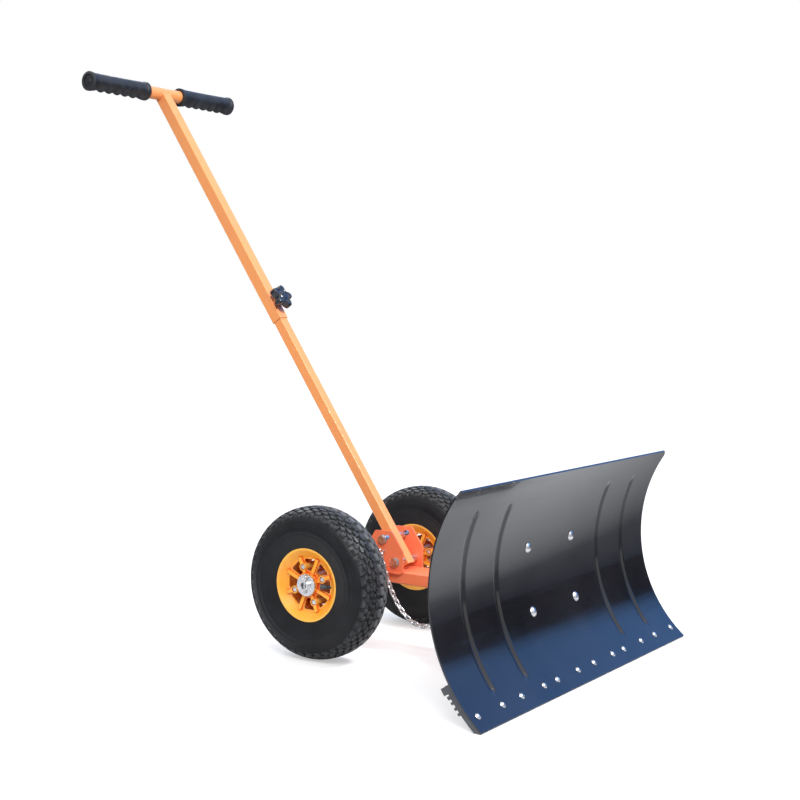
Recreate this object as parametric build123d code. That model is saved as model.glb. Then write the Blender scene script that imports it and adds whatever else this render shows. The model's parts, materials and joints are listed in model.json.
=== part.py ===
from build123d import *
import math
import os

# A two-wheeled snow shovel: a curved blade that swings on a king pin, a tongue
# and axle on two air-filled wheels, and a telescopic T-handle that tilts.
# Millimetres and degrees. The blade faces -Y, up is +Z, X runs along the axle.
# While it is drawn, the axle's line is at Y = 0 and the ground is at Z = 0.

# Wheels and axle
TYRE_OD = 260.0
TYRE_WIDTH = 84.0
WHEEL_X = 165.5
RIM_RADIUS = 62.0
RIM_HALF_WIDTH = 33.5
RIM_SHEET = 3.0
HUB_RADIUS = 19.0
HUB_HALF_LENGTH = 31.0
SPOKES = 8
TREAD_BLOCKS = 30
TREAD_DEPTH = 4.0
AXLE_RADIUS = 8.0
AXLE_END_X = 206.0
AXLE_TUBE_RADIUS = 17.0
AXLE_TUBE_HALF = 124.0
AXLE_Z = TYRE_OD / 2

# Tongue, a rectangular tube running forward from the axle
TONGUE_WIDTH = 60.0
TONGUE_TOP_Z = 137.0
TONGUE_HEIGHT = 22.0
TONGUE_WALL = 3.0
TONGUE_FRONT_Y = -310.0

# Blade
BLADE_WIDTH = 736.0
BLADE_RADIUS = 247.0
BLADE_SHEET = 2.5
BLADE_CENTRE = (-597.7, 194.2)
BLADE_LOW = -51.0
BLADE_HIGH = 36.0
HEM_HEIGHT = 12.0
RIB_XS = (175.0, 275.0)
RIB_ARCS = (41.0, 331.0)
RIB_RADIUS = 7.0
RIB_SINK = 3.0
BLADE_BOLT_X = 75.0
BLADE_BOLT_ARCS = (138.0, 241.0)
RIVET_XS = (29.0, 101.0, 145.0, 217.0, 275.0, 347.0)
RIVET_ARC = 25.0
SCRAPER_THICK = 7.0
SCRAPER_ARC = 86.0
# Each ridge across the scraper's back: its arc, width and height
SCRAPER_RIDGES = ((2, 14, 8), (42, 4, 4), (51, 4, 4), (60, 4, 4), (69, 5, 5), (80, 11, 8))

# Blade swing
KING_Y = -290.0
KING_RADIUS = 7.0
FORK_GAP = 1.8
FORK_SHEET = 5.0
INDEX_RADIUS = 62.0
INDEX_PLATE_RADIUS = 78.0
INDEX_ANGLES = (-30.0, -15.0, 0.0, 15.0, 30.0)
CHEEK_X = 52.0
BRACKET_SHEET = 4.0
PIN_RADIUS = 5.0
PIN_TRAVEL = 18.0

# Handle
BAR_Y = 517.5
BAR_Z = 998.4
POST_LEAN = 34.7
BAR_RADIUS = 12.0
BAR_HALF = 190.0
GRIP_RADIUS = 16.5
GRIP_START = 46.0
GRIP_END = 195.0
OUTER_TUBE = 22.0
OUTER_WALL = 1.2
INNER_TUBE = 19.0
INNER_WALL = 1.6
OUTER_END = 526.0
INNER_START = 326.0
KNOB_AT = 491.0
PIVOT_AT = 1029.0
TILT_BOLT_RISE = 46.0
POST_TAIL = 10.0
TILT_RANGE = 12.0
HANDLE_BOLT_RADIUS = 4.0
HANDLE_CHEEK_X = 30.0
HANDLE_CHEEK_SHEET = 3.0

# Chain between the handle bracket and the lock pin's ring
CHAIN_WIRE = 1.4
CHAIN_PITCH = 8.6
CHAIN_WIDTH = 9.2
CHAIN_EYE = (-43.5, -45.0, 170.0)
CHAIN_SPREAD = 45.0

# Clearances
RUNNING = 0.06
GAP = 0.3
HOLE_SLACK = 0.2

UP_POST = Vector(0, math.sin(math.radians(POST_LEAN)), math.cos(math.radians(POST_LEAN)))
POST_FRONT = Vector(0, -UP_POST.Z, UP_POST.Y)
INDEX_PLATE_Z = TONGUE_TOP_Z + FORK_GAP
INDEX_PLATE_TOP = INDEX_PLATE_Z + FORK_SHEET
TONGUE_LOW_Z = TONGUE_TOP_Z - TONGUE_HEIGHT
FORK_PLATE_Z = TONGUE_LOW_Z - FORK_GAP - FORK_SHEET
PIN_Y = KING_Y + INDEX_RADIUS
BLADE_BACK = BLADE_RADIUS + BLADE_SHEET
MIN_END = (Align.CENTER, Align.CENTER, Align.MIN)


def rod(radius, start, end, bore=0.0):
    """Round bar, or a tube when a bore radius is given, between two points."""
    start, end = Vector(*start), Vector(*end)
    length = (end - start).length
    solid = Cylinder(radius, length, align=MIN_END)
    if bore:
        solid -= Cylinder(bore, length, align=MIN_END)
    return Plane(origin=start, z_dir=end - start) * solid


def block(x_range, y_range, z_range):
    """Box given by its two limits on each axis."""
    spans = [high - low for low, high in (x_range, y_range, z_range)]
    centre = [(high + low) / 2 for low, high in (x_range, y_range, z_range)]
    return Pos(*centre) * Box(*spans)


def hexagon(across_flats, start, end, bore=0.0):
    """Hexagonal prism between two points, for bolt heads and nuts."""
    start, end = Vector(*start), Vector(*end)
    sketch = RegularPolygon(across_flats / 2, 6, major_radius=False)
    if bore:
        sketch -= Circle(bore)
    return extrude(Plane(origin=start, z_dir=end - start) * sketch, (end - start).length)


def dome(radius, height, base, direction):
    """Low round head standing on a base point."""
    sphere_radius = (radius * radius + height * height) / (2 * height)
    ball = Pos(0, 0, height - sphere_radius) * Sphere(sphere_radius)
    cap = ball & Cylinder(radius, height, align=MIN_END)
    return Plane(origin=Vector(*base), z_dir=Vector(*direction)) * cap


def plate_yz(points, x_low, x_high):
    """Flat plate standing in the YZ plane, from its outline's (y, z) points."""
    outline = make_face(Polyline([(0, y, z) for y, z in points], close=True))
    return Pos(x_low, 0, 0) * extrude(outline, x_high - x_low, dir=(1, 0, 0))


def on_post(distance, out=0.0, x=0.0):
    """Point at a distance down the post from the crossbar, and out of its front."""
    return Vector(x, BAR_Y, BAR_Z) - UP_POST * distance + POST_FRONT * out


def post_box(x_half, y_half, near, far):
    """Bar with the post's slope between two distances from the crossbar."""
    plane = Plane(origin=on_post(far), x_dir=(1, 0, 0), z_dir=UP_POST)
    return plane * Box(2 * x_half, 2 * y_half, far - near, align=MIN_END)


def blade_angle(arc):
    """Angle on the blade's curve at an arc length above its lower edge."""
    return BLADE_LOW + math.degrees(arc / BLADE_RADIUS)


def blade_point(angle, radius, x=0.0):
    """Point at an angle on the blade's curve and a radius from its centre line."""
    turn = math.radians(angle)
    return (x, BLADE_CENTRE[0] + radius * math.cos(turn), BLADE_CENTRE[1] + radius * math.sin(turn))


def blade_band(section, angle_low, angle_high):
    """Solid swept round the blade's centre line; the section is drawn as (x, radius)."""
    turn = math.radians(angle_low)
    start = Plane(
        origin=(0, *BLADE_CENTRE),
        x_dir=(1, 0, 0),
        z_dir=(0, -math.sin(turn), math.cos(turn)),
    )
    axis = Axis((0, *BLADE_CENTRE), (1, 0, 0))
    return revolve(start * section, axis, angle_high - angle_low)


def strip(x_low, x_high, radius_low, radius_high):
    """Rectangular section for a blade band."""
    centre = ((x_low + x_high) / 2, (radius_low + radius_high) / 2)
    return Pos(*centre) * Rectangle(x_high - x_low, radius_high - radius_low)


def blade_rod(radius, angle, radius_low, radius_high, x, bore=0.0):
    """Rod or washer square to the blade's curve."""
    start = blade_point(angle, radius_low, x)
    end = blade_point(angle, radius_high, x)
    return rod(radius, start, end, bore)


def rib_places():
    return [side * x for side in (-1, 1) for x in RIB_XS]


def blade_bolt_places():
    return [(side * BLADE_BOLT_X, blade_angle(arc)) for side in (-1, 1) for arc in BLADE_BOLT_ARCS]


def rivet_places():
    return [(side * x, blade_angle(RIVET_ARC)) for side in (-1, 1) for x in RIVET_XS]


# Blade body

BOLT_RADIUS = 4.0
RIVET_RADIUS = 2.4
HEM_LAYER = 2.0
CORNER_CUT = 9.0
# A flat head on the hollow face touches it only at the head's rim
HEAD_LIFT = 0.15


def make_blade_sheet():
    half = BLADE_WIDTH / 2
    sheet = blade_band(strip(-half, half, BLADE_RADIUS, BLADE_BACK), BLADE_LOW, BLADE_HIGH)
    top_z = blade_point(BLADE_HIGH, BLADE_RADIUS)[2]
    corners = [
        edge for edge in sheet.edges()
        if edge.length < BLADE_SHEET * 1.1 and edge.center().Z > top_z - BLADE_SHEET
    ]
    sheet = chamfer(corners, CORNER_CUT)
    hem_half = half - CORNER_CUT
    hem_angle = math.degrees(HEM_HEIGHT / BLADE_RADIUS)
    hem = strip(-hem_half, hem_half, BLADE_BACK, BLADE_BACK + HEM_LAYER)
    sheet += blade_band(hem, BLADE_HIGH - hem_angle, BLADE_HIGH)
    for x in rib_places():
        sheet = sheet + rib_ridge(x) - rib_groove(x)
    for x, angle in blade_bolt_places():
        sheet -= blade_rod(BOLT_RADIUS + HOLE_SLACK, angle, BLADE_RADIUS - 1, BLADE_BACK + 1, x)
    for x, angle in rivet_places():
        sheet -= blade_rod(RIVET_RADIUS, angle, BLADE_RADIUS - 1, BLADE_BACK + 1, x)
    return sheet


def rib_ridge(x):
    """The part of a pressed rib that stands proud of the blade's back."""
    low, high = (blade_angle(arc) for arc in RIB_ARCS)
    centre = Pos(x, BLADE_RADIUS - RIB_RADIUS + RIB_SINK)
    outside = strip(x - 2 * RIB_RADIUS, x + 2 * RIB_RADIUS, BLADE_RADIUS, BLADE_BACK + RIB_RADIUS)
    return blade_band(centre * Circle(RIB_RADIUS + BLADE_SHEET) & outside, low, high)


def rib_groove(x):
    """The part of a pressed rib that is hollow in the blade's front."""
    low, high = (blade_angle(arc) for arc in RIB_ARCS)
    return blade_band(Pos(x, BLADE_RADIUS - RIB_RADIUS + RIB_SINK) * Circle(RIB_RADIUS), low, high)


def make_scraper():
    """Ribbed rubber strip behind the blade's lower edge, with a flat sole on the ground."""
    half = BLADE_WIDTH / 2
    outer = BLADE_BACK + SCRAPER_THICK
    step = math.degrees(1.0 / outer)
    top = BLADE_LOW + SCRAPER_ARC * step
    rubber = blade_band(strip(-half, half, BLADE_BACK, outer), BLADE_LOW - 3, top)
    for arc, width, height in SCRAPER_RIDGES:
        ridge = strip(-half, half, outer - 1, outer + height)
        middle = BLADE_LOW + arc * step
        rubber += blade_band(ridge, middle - width / 2 * step, middle + width / 2 * step)
    rubber -= block((-half - 1, half + 1), (BLADE_CENTRE[0], 0), (-60, 0))
    for x, angle in rivet_places():
        rubber -= blade_rod(RIVET_RADIUS, angle, BLADE_BACK - 1, outer + 1, x)
    for x in rib_places():
        rubber -= rib_ridge(x)
    return rubber


def make_rivets():
    rivets = []
    for x, angle in rivet_places():
        outward = Vector(*blade_point(angle, 1)) - Vector(*blade_point(angle, 0))
        seat = BLADE_RADIUS - HEAD_LIFT
        front = blade_point(angle, seat, x)
        back = BLADE_BACK + SCRAPER_THICK + 1.5
        shank = blade_rod(RIVET_RADIUS, angle, seat, back, x)
        tail = dome(4.0, 2.0, blade_point(angle, back, x), outward)
        rivets.append(shank + dome(5.5, 2.6, front, -outward) + tail)
    return rivets


def make_rivet_washers():
    back = BLADE_BACK + SCRAPER_THICK
    return [blade_rod(9.0, angle, back, back + 1.5, x, RIVET_RADIUS) for x, angle in rivet_places()]


def make_blade_bracket(side):
    """Bent angle: a curved pad bolted to the blade and a cheek that carries the fork."""
    low, high = CHEEK_X, CHEEK_X + 44.0
    pad_back = BLADE_BACK + BRACKET_SHEET
    section = strip(*sorted((side * low, side * high)), BLADE_BACK, pad_back)
    pad = blade_band(section, blade_angle(112), blade_angle(267))
    outline = [(-400, 95), (-322, 95), (-322, 155), (-336, 236), (-400, 236)]
    cheek = plate_yz(outline, *sorted((side * low, side * (low + BRACKET_SHEET))))
    cheek -= rod(BLADE_BACK + 0.5 * BRACKET_SHEET, (-200, *BLADE_CENTRE), (200, *BLADE_CENTRE))
    bracket = pad + cheek
    for x, angle in blade_bolt_places():
        bracket -= blade_rod(BOLT_RADIUS + HOLE_SLACK, angle, BLADE_BACK - 1, pad_back + 1, x)
    return bracket


def fork_blank(z, rear_radius):
    """Plate between the cheeks with a round rear end about the king pin."""
    rear = Pos(0, KING_Y, z) * Cylinder(rear_radius, FORK_SHEET, align=MIN_END)
    rear -= block((-200, 200), (-500, -321), (z - 1, z + FORK_SHEET + 1))
    neck = min(rear_radius, CHEEK_X)
    rear += block((-neck, neck), (-320, KING_Y), (z, z + FORK_SHEET))
    plate = rear + block((-CHEEK_X, CHEEK_X), (-362, -318), (z, z + FORK_SHEET))
    front = BLADE_BACK + BRACKET_SHEET
    plate -= rod(front, (-200, *BLADE_CENTRE), (200, *BLADE_CENTRE))
    king = (0, KING_Y, z - 1), (0, KING_Y, z + FORK_SHEET + 1)
    return plate - rod(KING_RADIUS, *king)


def make_index_plate():
    plate = fork_blank(INDEX_PLATE_Z, INDEX_PLATE_RADIUS)
    for angle in INDEX_ANGLES:
        turn = math.radians(angle)
        x = INDEX_RADIUS * math.sin(turn)
        y = KING_Y + INDEX_RADIUS * math.cos(turn)
        plate -= rod(PIN_RADIUS + 0.5, (x, y, INDEX_PLATE_Z - 1), (x, y, INDEX_PLATE_TOP + 1))
    return plate


def make_fork_plate():
    return fork_blank(FORK_PLATE_Z, 26.0)


def make_king_pin():
    head = hexagon(22, (0, KING_Y, INDEX_PLATE_TOP), (0, KING_Y, INDEX_PLATE_TOP + 8.8))
    return head + rod(KING_RADIUS, (0, KING_Y, FORK_PLATE_Z - 14), (0, KING_Y, INDEX_PLATE_TOP))


def make_king_nut():
    return hexagon(22, (0, KING_Y, FORK_PLATE_Z - 11), (0, KING_Y, FORK_PLATE_Z), KING_RADIUS)


def make_blade_bolts():
    """Round-headed bolts, heads in front of the blade."""
    bolts = []
    for x, angle in blade_bolt_places():
        outward = Vector(*blade_point(angle, 1)) - Vector(*blade_point(angle, 0))
        seat = BLADE_RADIUS - HEAD_LIFT
        shank = blade_rod(BOLT_RADIUS, angle, seat, BLADE_BACK + 17, x)
        bolts.append(shank + dome(8.5, 4.2, blade_point(angle, seat, x), -outward))
    return bolts


def make_blade_bolt_washers():
    back = BLADE_BACK + BRACKET_SHEET
    places = blade_bolt_places()
    return [blade_rod(8.5, angle, back, back + 1.6, x, BOLT_RADIUS) for x, angle in places]


def make_blade_bolt_nuts():
    low = BLADE_BACK + BRACKET_SHEET + 1.6
    nuts = []
    for x, angle in blade_bolt_places():
        nuts.append(hexagon(13, blade_point(angle, low, x), blade_point(angle, low + 6.5, x), BOLT_RADIUS))
    return nuts


# Frame body

SPLIT_PIN_RADIUS = 1.5
SPLIT_PIN_X = 202.5
AXLE_BORE = 5.5
WASHER_SHEET = 2.5
BUSH_RADIUS = 10.0
TOWER_TOP = 172.0
TOWER_BARREL = 11.0
DETENT_RADIUS = 2.5
DETENT_Z = 160.0
EYE_SHANK = 2.5


def make_axle():
    axle = rod(AXLE_RADIUS, (-AXLE_END_X, 0, AXLE_Z), (AXLE_END_X, 0, AXLE_Z))
    for side in (-1, 1):
        end = side * AXLE_END_X
        axle -= rod(AXLE_BORE, (end - side * 14, 0, AXLE_Z), (end + side, 0, AXLE_Z))
        axle -= rod(SPLIT_PIN_RADIUS, (side * SPLIT_PIN_X, 0, AXLE_Z - 20), (side * SPLIT_PIN_X, 0, AXLE_Z + 20))
    return axle


def make_axle_tube():
    ends = (-AXLE_TUBE_HALF, 0, AXLE_Z), (AXLE_TUBE_HALF, 0, AXLE_Z)
    return rod(AXLE_TUBE_RADIUS, *ends, AXLE_RADIUS)


def make_axle_washers():
    """Spacer inside and washer outside each hub."""
    hub_in = WHEEL_X - HUB_HALF_LENGTH
    hub_out = WHEEL_X + HUB_HALF_LENGTH
    rings = []
    for side in (-1, 1):
        for low, high in ((AXLE_TUBE_HALF, hub_in - GAP), (hub_out + GAP, hub_out + GAP + WASHER_SHEET)):
            rings.append(rod(18.5, (side * low, 0, AXLE_Z), (side * high, 0, AXLE_Z), AXLE_RADIUS))
    return rings


def make_split_pins():
    """Split pins through the axle's ends, their loops above and legs below."""
    pins = []
    for side in (-1, 1):
        x = side * SPLIT_PIN_X
        leg = rod(SPLIT_PIN_RADIUS, (x, 0, AXLE_Z - 14), (x, 0, AXLE_Z + 11))
        loop = Pos(x, 0, AXLE_Z + 13) * Rot(0, 90, 0) * Torus(3.2, 1.2)
        pins.append(leg + loop)
    return pins


def make_tongue():
    half = TONGUE_WIDTH / 2
    inner = half - TONGUE_WALL
    tube = block((-half, half), (TONGUE_FRONT_Y, 0), (TONGUE_LOW_Z, TONGUE_TOP_Z))
    tube = chamfer(tube.edges().filter_by(Axis.Y), 2.0)
    hollow = (TONGUE_LOW_Z + TONGUE_WALL, TONGUE_TOP_Z - TONGUE_WALL)
    tube -= block((-inner, inner), (TONGUE_FRONT_Y - 1, 1), hollow)
    tube -= rod(AXLE_TUBE_RADIUS, (-half - 1, 0, AXLE_Z), (half + 1, 0, AXLE_Z))
    tube -= rod(BUSH_RADIUS, (0, KING_Y, TONGUE_LOW_Z - 1), (0, KING_Y, TONGUE_TOP_Z + 1))
    tube -= rod(PIN_RADIUS + 0.5, (0, PIN_Y, TONGUE_TOP_Z - 10), (0, PIN_Y, TONGUE_TOP_Z + 1))
    tail = block((-half, half), (-AXLE_TUBE_RADIUS / 2, 1), (TONGUE_LOW_Z - 1, TONGUE_TOP_Z + 1))
    return tube - tail


def make_king_bush():
    ends = (0, KING_Y, TONGUE_LOW_Z), (0, KING_Y, TONGUE_TOP_Z)
    return rod(BUSH_RADIUS, *ends, KING_RADIUS + RUNNING)


def make_thrust_washers():
    rings = []
    for low in (TONGUE_LOW_Z - FORK_GAP + GAP, TONGUE_TOP_Z):
        high = low + FORK_GAP - GAP
        rings.append(rod(18.0, (0, KING_Y, low), (0, KING_Y, high), KING_RADIUS + GAP))
    return rings


def make_pin_tower():
    """Bracket on the tongue that carries the lock pin's guide over the index plate."""
    foot = block((-12, 12), (-205, -165), (TONGUE_TOP_Z, TONGUE_TOP_Z + 5))
    riser = block((-12, 12), (-205, -199), (TONGUE_TOP_Z, TOWER_TOP))
    arm = block((-8, 8), (PIN_Y, -199), (TOWER_TOP - 24, TOWER_TOP))
    barrel = rod(TOWER_BARREL, (0, PIN_Y, TOWER_TOP - 24), (0, PIN_Y, TOWER_TOP))
    gusset = plate_yz([(-199, 142), (-175, 142), (-199, 168)], -2.5, 2.5)
    tower = foot + riser + arm + barrel + gusset
    tower -= rod(PIN_RADIUS + RUNNING, (0, PIN_Y, 100), (0, PIN_Y, TOWER_TOP + 1))
    return tower - rod(DETENT_RADIUS, (0, PIN_Y, DETENT_Z), (TOWER_BARREL + 1, PIN_Y, DETENT_Z))


def make_detent_screw():
    """Screw whose tip holds the pin up or down."""
    tip = (PIN_RADIUS + GAP, PIN_Y, DETENT_Z)
    shoulder = (TOWER_BARREL + 1, PIN_Y, DETENT_Z)
    screw = rod(DETENT_RADIUS, tip, shoulder)
    return screw + hexagon(8, shoulder, (TOWER_BARREL + 5, PIN_Y, DETENT_Z))


def pivot_point():
    return on_post(PIVOT_AT)


def tilt_bolt_point():
    return on_post(PIVOT_AT - TILT_BOLT_RISE)


def across(point, x):
    """The same point moved to another X."""
    return (x, point.Y, point.Z)


def tilt_slot():
    """Cutter for the arc that the tilt bolt sweeps through both cheeks."""
    plane = Plane(origin=pivot_point(), x_dir=UP_POST, z_dir=(1, 0, 0))
    arc = CenterArc((0, 0), TILT_BOLT_RISE, -TILT_RANGE, 2 * TILT_RANGE)
    slot = SlotArc(arc, 2 * (HANDLE_BOLT_RADIUS + 0.5))
    return extrude(plane * slot, 50, both=True)


def make_handle_bracket(side):
    """Upright cheek beside the tongue, with an arc slot for the handle's tilt."""
    inner, outer = HANDLE_CHEEK_X, HANDLE_CHEEK_X + HANDLE_CHEEK_SHEET
    outline = [
        (-14, 187), (-25, 205), (-60, 206), (-84, 172),
        (-84, 133), (-37, 133), (-31, 162), (-22, 171),
    ]
    cheek = plate_yz(outline, *sorted((side * inner, side * outer)))
    cheek = fillet(cheek.edges().filter_by(Axis.X), 4.0)
    cheek += block(sorted((side * inner, side * (outer + 5))), (-80, -41), (133, 136))
    cheek -= tilt_slot()
    pivot = pivot_point()
    cheek -= rod(HANDLE_BOLT_RADIUS, across(pivot, side * inner - 5), across(pivot, side * inner + 5))
    if side < 0:
        eye = Vector(*CHAIN_EYE)
        cheek -= rod(EYE_SHANK, across(eye, -inner - 5), across(eye, -inner + 5))
    return cheek


def through_bolt(point, half_grip):
    """M8 bolt across the cheeks, its head on the -X side."""
    bolt = rod(HANDLE_BOLT_RADIUS, across(point, -half_grip), across(point, half_grip + 9))
    return bolt + hexagon(13, across(point, -half_grip - 5.3), across(point, -half_grip))


def side_washers(point, half_grip, sheet):
    """Washers under a cross bolt's head and nut."""
    rings = []
    for side in (-1, 1):
        ends = across(point, side * (half_grip - sheet)), across(point, side * half_grip)
        rings.append(rod(8.5, *ends, HANDLE_BOLT_RADIUS))
    return rings


def cross_nut(point, half_grip):
    ends = across(point, half_grip), across(point, half_grip + 6.5)
    return hexagon(13, *ends, HANDLE_BOLT_RADIUS)


def spacers(point, near, far):
    """Tubes that centre the post between the cheeks."""
    ends = [(across(point, side * near), across(point, side * far)) for side in (-1, 1)]
    return [rod(7.0, *pair, HANDLE_BOLT_RADIUS) for pair in ends]


BOLT_WASHER = 1.6
CHEEK_OUT = HANDLE_CHEEK_X + HANDLE_CHEEK_SHEET
PIVOT_GRIP = CHEEK_OUT + BOLT_WASHER
TILT_GRIP = PIVOT_GRIP + GAP


def make_pivot_bolt():
    return through_bolt(pivot_point(), PIVOT_GRIP)


def make_pivot_nut():
    return cross_nut(pivot_point(), PIVOT_GRIP)


def make_pivot_washers():
    return side_washers(pivot_point(), PIVOT_GRIP, BOLT_WASHER)


def make_pivot_spacers():
    return spacers(pivot_point(), INNER_TUBE / 2 + GAP, HANDLE_CHEEK_X)


def make_chain_eye():
    """Eye screw in the right-hand cheek that the chain hangs from."""
    x, y, z = CHAIN_EYE
    shank = rod(EYE_SHANK, (5 - HANDLE_CHEEK_X, y, z), (x + EYE_RADIUS, y, z))
    ring = Pos(x, y, z) * Rot(90, 0, 0) * Torus(EYE_RADIUS, EYE_WIRE)
    return shank + ring + hexagon(8, (4 - HANDLE_CHEEK_X, y, z), (-HANDLE_CHEEK_X, y, z))


# Chain

EYE_RADIUS = 5.0
EYE_WIRE = 1.2
LINK_PLAY = 0.15
HOOK_PLAY = 0.4


def chain_ends():
    """Where the chain's first and last links hook over the eye and the pull ring."""
    x, y, z = CHAIN_EYE
    eye = Vector(x, y, z - EYE_RADIUS + EYE_WIRE + HOOK_PLAY)
    ring = Vector(-2 * RING_RADIUS, PIN_Y, RING_Z + RING_WIRE + HOOK_PLAY)
    return eye, ring


def chain_path():
    """Points along the hanging chain, one for each end of a link."""
    start, end = chain_ends()
    span = math.hypot(start.X - end.X, start.Y - end.Y)
    drop = end.Z - start.Z
    # Lowest point of the catenary, as a share of the span from the start
    reach = 2 * CHAIN_SPREAD * math.sinh(span / 2 / CHAIN_SPREAD)
    lowest = span / 2 - CHAIN_SPREAD * math.asinh(drop / reach)
    base = start.Z - CHAIN_SPREAD * math.cosh(lowest / CHAIN_SPREAD)
    left = CHAIN_SPREAD * math.sinh(lowest / CHAIN_SPREAD)
    right = CHAIN_SPREAD * math.sinh((span - lowest) / CHAIN_SPREAD)
    count = 2 * round((left + right) / CHAIN_PITCH / 2)
    points = []
    for step in range(count + 1):
        along = CHAIN_SPREAD * math.asinh((step / count * (left + right) - left) / CHAIN_SPREAD)
        share = (along + lowest) / span
        height = base + CHAIN_SPREAD * math.cosh(along / CHAIN_SPREAD)
        flat = start + (end - start) * share
        points.append(Vector(flat.X, flat.Y, height))
    return points


def make_link(length):
    """Oval link lying in its own XZ plane, long way up Z."""
    radius = CHAIN_WIDTH / 2 - CHAIN_WIRE
    straight = length - 2 * radius
    bend = Rot(90, 0, 0) * Torus(radius, CHAIN_WIRE)
    upper = bend & Pos(0, 0, 10) * Box(20, 20, 20)
    lower = bend & Pos(0, 0, -10) * Box(20, 20, 20)
    link = Pos(0, 0, straight / 2) * upper + Pos(0, 0, -straight / 2) * lower
    for side in (-1, 1):
        link += Pos(side * radius, 0, 0) * Cylinder(CHAIN_WIRE, straight)
    return link


def make_chain():
    """Separate welded links, each turned a quarter from the one before."""
    points = chain_path()
    links = []
    for step, (low, high) in enumerate(zip(points, points[1:])):
        link = make_link((high - low).length + 2 * (CHAIN_WIRE + LINK_PLAY))
        run = high - low
        place = Plane(origin=(low + high) / 2, x_dir=run.cross(Vector(1, 0, 0)), z_dir=run)
        links.append(place * Rot(0, 0, 90 * (step % 2)) * link)
    return links


# Lock pin

PIN_LOW = INDEX_PLATE_TOP + 2.5
RING_RADIUS = 20.0
RING_WIRE = 1.5
RING_Z = TOWER_TOP + PIN_TRAVEL + 3.0
PIN_TOP = RING_Z + 5.0


def make_lock_pin():
    pin = chamfer(Cylinder(PIN_RADIUS, PIN_TOP - PIN_LOW, align=MIN_END).edges(), 1.0)
    pin = Pos(0, PIN_Y, PIN_LOW) * pin
    return pin - rod(RING_WIRE + 0.8, (0, PIN_Y - 8, RING_Z), (0, PIN_Y + 8, RING_Z))


def make_pull_ring():
    return Pos(-RING_RADIUS, PIN_Y, RING_Z) * Torus(RING_RADIUS, RING_WIRE)


# Handle

def square_tube(outside, wall, near, far):
    """Square tube on the post's line between two distances from the crossbar."""
    inside = outside / 2 - wall
    shell = post_box(outside / 2, outside / 2, near, far)
    shell = fillet(shell.edges().filter_by(Axis((0, 0, 0), tuple(UP_POST))), wall)
    return shell - post_box(inside, inside, near - 1, far + 1)


def make_lower_tube():
    tube = square_tube(INNER_TUBE, INNER_WALL, INNER_START, PIVOT_AT + POST_TAIL)
    reach = INNER_TUBE
    pivot, bolt = pivot_point(), tilt_bolt_point()
    tube -= rod(HANDLE_BOLT_RADIUS + RUNNING, across(pivot, -reach), across(pivot, reach))
    return tube - rod(HANDLE_BOLT_RADIUS, across(bolt, -reach), across(bolt, reach))


def make_tilt_bolt():
    return through_bolt(tilt_bolt_point(), TILT_GRIP)


def make_tilt_nut():
    return cross_nut(tilt_bolt_point(), TILT_GRIP)


def make_tilt_washers():
    return side_washers(tilt_bolt_point(), TILT_GRIP, BOLT_WASHER)


def make_tilt_spacers():
    return spacers(tilt_bolt_point(), INNER_TUBE / 2, HANDLE_CHEEK_X - GAP)


STUD_RADIUS = 4.0
NUT_DEPTH = 4.0
KNOB_RADIUS = 24.0
KNOB_DEPTH = 18.0
KNOB_LOBES = 5
LOBE_RADIUS = 6.5
KNOB_CORE = 13.0


def make_upper_tube():
    tube = square_tube(OUTER_TUBE, OUTER_WALL, 0, OUTER_END)
    tube -= rod(BAR_RADIUS, on_post(0, x=-60), on_post(0, x=60))
    tube -= post_box(60, 60, -20, 0)
    front = OUTER_TUBE / 2
    return tube - rod(STUD_RADIUS + GAP, on_post(KNOB_AT, front - 4), on_post(KNOB_AT, front + 4))


def make_crossbar():
    return rod(BAR_RADIUS, on_post(0, x=-BAR_HALF), on_post(0, x=BAR_HALF), BAR_RADIUS - 1.5)


def make_grip(side):
    """Closed rubber grip with end collars and finger grooves on its underside."""
    grip = rod(GRIP_RADIUS, (GRIP_START, 0, 0), (GRIP_END, 0, 0))
    for x in (GRIP_START, GRIP_END - 7):
        grip += rod(GRIP_RADIUS + 1.5, (x, 0, 0), (x + 7, 0, 0))
    for finger in range(5):
        x = GRIP_START + 24 + 25 * finger
        grip -= Pos(x, 0, -GRIP_RADIUS - 18) * Rot(90, 0, 0) * Cylinder(21, 60)
    grip = fillet(grip.faces().sort_by(Axis.X)[-1].edges(), 2.0)
    grip -= rod(BAR_RADIUS, (GRIP_START - 1, 0, 0), (BAR_HALF, 0, 0))
    if side < 0:
        grip = mirror(grip, Plane.YZ)
    return Pos(*on_post(0)) * grip


def make_clamp_nut():
    """Nut welded to the outer tube, which the knob's stud screws through."""
    ends = on_post(KNOB_AT, OUTER_TUBE / 2), on_post(KNOB_AT, OUTER_TUBE / 2 + NUT_DEPTH)
    return hexagon(14, *ends, STUD_RADIUS + RUNNING)


def make_knob_stud():
    ends = on_post(KNOB_AT, INNER_TUBE / 2 + GAP), on_post(KNOB_AT, knob_face() + 13)
    return rod(STUD_RADIUS, *ends)


def knob_face():
    """Distance of the knob's inner face from the post's centre line."""
    return OUTER_TUBE / 2 + NUT_DEPTH + 1.0


def make_knob():
    """Star knob with its lobes round a boss."""
    turns = [360 / KNOB_LOBES * lobe for lobe in range(KNOB_LOBES)]
    lobe = Pos(KNOB_RADIUS - LOBE_RADIUS, 0) * Circle(LOBE_RADIUS)
    star = Circle(KNOB_CORE) + [Rot(0, 0, turn) * lobe for turn in turns]
    star = fillet(star.vertices(), 2.5)
    knob = Pos(0, 0, 4) * extrude(star, KNOB_DEPTH - 4)
    knob = fillet(knob.faces().sort_by(Axis.Z)[-1].edges(), 1.8)
    knob += Cylinder(10, 4, align=MIN_END)
    knob -= Cylinder(STUD_RADIUS, 13, align=MIN_END)
    return Plane(origin=on_post(KNOB_AT, knob_face()), z_dir=POST_FRONT) * knob


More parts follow.
